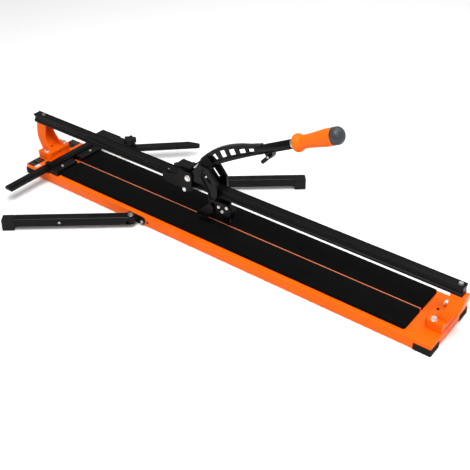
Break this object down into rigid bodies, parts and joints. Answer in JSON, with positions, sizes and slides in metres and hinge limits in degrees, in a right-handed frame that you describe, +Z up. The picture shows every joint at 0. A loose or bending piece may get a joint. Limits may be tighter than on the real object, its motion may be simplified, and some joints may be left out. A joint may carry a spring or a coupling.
{
  "type": "tile cutter",
  "caption": "Long manual tile cutter: single black rail on an orange base, scoring carriage with a ladder-shaped lever, swivel fence and swing-out supports.",
  "frame": {"origin": "floor level, under the middle of the rail, on the cutting line", "axes": "+X along the rail away from the fence, +Y to the rear, +Z up"},
  "size_m": [1.446, 0.718, 0.4457],
  "materials": {
    "orange_paint": "satin",
    "black_paint": "satin",
    "black_anodised": "satin",
    "black_casting": "semi-gloss",
    "foam": "matte",
    "rubber": "matte",
    "zinc_steel": "bright",
    "carbide": "ground",
    "black_plastic": "matte",
    "orange_grip": "satin",
    "slate_plastic": "matte",
    "label": "printed"
  },
  "bodies": {
    "base": {"base_tray": "orange_paint", "ridge_support": "zinc_steel", "breaking_ridge": "orange_paint", "front_pad": "foam", "rear_pad": "foam", "corner_caps": "rubber", "left_rail_bracket": "orange_paint", "right_rail_bracket": "orange_paint", "bracket_bolts": "zinc_steel", "rail": "black_anodised", "rail_bolts": "zinc_steel", "front_fence_plate": "black_paint", "rear_fence_plate": "black_paint", "fence_screws": "zinc_steel", "scale_labels": "label", "ruler_guide": "black_paint", "front_leg_bracket": "black_paint", "rear_leg_bracket": "black_paint", "leg_bracket_bolts": "zinc_steel", "leg_pivot_bolts": "zinc_steel"},
    "ruler": {"ruler_bar": "black_anodised", "angle_head": "black_paint", "angle_stud": "zinc_steel"},
    "angle_fence": {"angle_fence": "black_anodised"},
    "star_knob": {"star_knob": "black_plastic"},
    "ruler_screw": {"ruler_screw": "black_plastic"},
    "front_leg": {"front_leg_arm": "black_paint", "front_leg_strip": "rubber", "front_leg_foot": "black_plastic", "front_leg_screw": "zinc_steel"},
    "rear_leg": {"rear_leg_arm": "black_paint", "rear_leg_strip": "rubber", "rear_leg_foot": "black_plastic", "rear_leg_screw": "zinc_steel"},
    "carriage": {"carriage_front_plate": "black_paint", "carriage_rear_plate": "black_paint", "carriage_yoke": "black_casting", "carriage_pins": "zinc_steel", "lever_pivot_bolt": "zinc_steel", "lift_spring": "zinc_steel"},
    "guide_roller_1": {"guide_roller_1": "zinc_steel"},
    "guide_roller_2": {"guide_roller_2": "zinc_steel"},
    "guide_roller_3": {"guide_roller_3": "zinc_steel"},
    "guide_roller_4": {"guide_roller_4": "zinc_steel"},
    "lever": {"front_fork_plate": "black_casting", "rear_fork_plate": "black_casting", "lever_arm": "black_casting", "wheel_head": "black_casting", "head_bolts": "zinc_steel", "head_pins": "black_paint", "clamp_bolt": "zinc_steel"},
    "cutting_wheel": {"cutting_wheel": "carbide"},
    "breaker": {"breaker_foot": "black_casting", "breaker_pads": "rubber"},
    "clamp_lever": {"clamp_lever": "black_paint"},
    "handle_end": {"handle_tube": "zinc_steel", "ferrule": "zinc_steel", "grip": "orange_grip", "grip_cap": "slate_plastic"}
  },
  "joints": [
    {"name": "carriage_slide", "type": "slide", "parent": "base", "child": "carriage", "axis": [1, 0, 0], "range_m": [-0.495, 0.585]},
    {"name": "lever_pivot", "type": "hinge", "parent": "carriage", "child": "lever", "pos_m": [-0.081, 0, 0.163], "axis": [0, 1, 0], "range_deg": [-12, 4], "stiffness_Nm_per_rad": 8, "springref_deg": -14.32, "deforming": ["lift_spring"]},
    {"name": "wheel_spin", "type": "hinge", "parent": "lever", "child": "cutting_wheel", "pos_m": [0.035, 0, 0.06], "axis": [0, 1, 0], "continuous": true},
    {"name": "breaker_swing", "type": "hinge", "parent": "lever", "child": "breaker", "pos_m": [-0.004, 0, 0.09], "axis": [0, 1, 0], "range_deg": [-12, 12]},
    {"name": "clamp_lever_turn", "type": "hinge", "parent": "lever", "child": "clamp_lever", "pos_m": [0.174, 0, 0.3114], "axis": [0, 1, 0], "range_deg": [-60, 15]},
    {"name": "handle_extend", "type": "slide", "parent": "lever", "child": "handle_end", "axis": [0.8902, 0, 0.4555], "range_m": [0, 0.05]},
    {"name": "ruler_slide", "type": "slide", "parent": "base", "child": "ruler", "axis": [0, 1, 0], "range_m": [-0.035, 0.12]},
    {"name": "angle_fence_pivot", "type": "hinge", "parent": "ruler", "child": "angle_fence", "pos_m": [-0.48, 0.16, 0.041], "axis": [0, 0, 1], "range_deg": [-43, 47]},
    {"name": "star_knob_turn", "type": "hinge", "parent": "ruler", "child": "star_knob", "pos_m": [-0.48, 0.16, 0.06], "axis": [0, 0, 1], "range_deg": [0, 540]},
    {"name": "ruler_screw_turn", "type": "hinge", "parent": "ruler", "child": "ruler_screw", "pos_m": [-0.593, -0.085, 0.055], "axis": [0, 0, 1], "range_deg": [0, 540]},
    {"name": "front_leg_swing", "type": "hinge", "parent": "base", "child": "front_leg", "pos_m": [-0.218, -0.122, 0.019], "axis": [0, 0, 1], "range_deg": [-39, 51]},
    {"name": "rear_leg_swing", "type": "hinge", "parent": "base", "child": "rear_leg", "pos_m": [-0.218, 0.122, 0.019], "axis": [0, 0, 1], "range_deg": [-39, 51]},
    {"name": "guide_roller_1_spin", "type": "hinge", "parent": "carriage", "child": "guide_roller_1", "pos_m": [-0.16, -0.016, 0.145], "axis": [0, 0, 1], "continuous": true},
    {"name": "guide_roller_2_spin", "type": "hinge", "parent": "carriage", "child": "guide_roller_2", "pos_m": [-0.118, -0.016, 0.145], "axis": [0, 0, 1], "continuous": true},
    {"name": "guide_roller_3_spin", "type": "hinge", "parent": "carriage", "child": "guide_roller_3", "pos_m": [-0.16, 0.016, 0.145], "axis": [0, 0, 1], "continuous": true},
    {"name": "guide_roller_4_spin", "type": "hinge", "parent": "carriage", "child": "guide_roller_4", "pos_m": [-0.118, 0.016, 0.145], "axis": [0, 0, 1], "continuous": true}
  ],
  "couplings": [
    {"joint": "guide_roller_1_spin", "follows": "carriage_slide", "rad_per_m": 138.89},
    {"joint": "guide_roller_2_spin", "follows": "carriage_slide", "rad_per_m": 138.89},
    {"joint": "guide_roller_3_spin", "follows": "carriage_slide", "rad_per_m": -138.89},
    {"joint": "guide_roller_4_spin", "follows": "carriage_slide", "rad_per_m": -138.89}
  ]
}
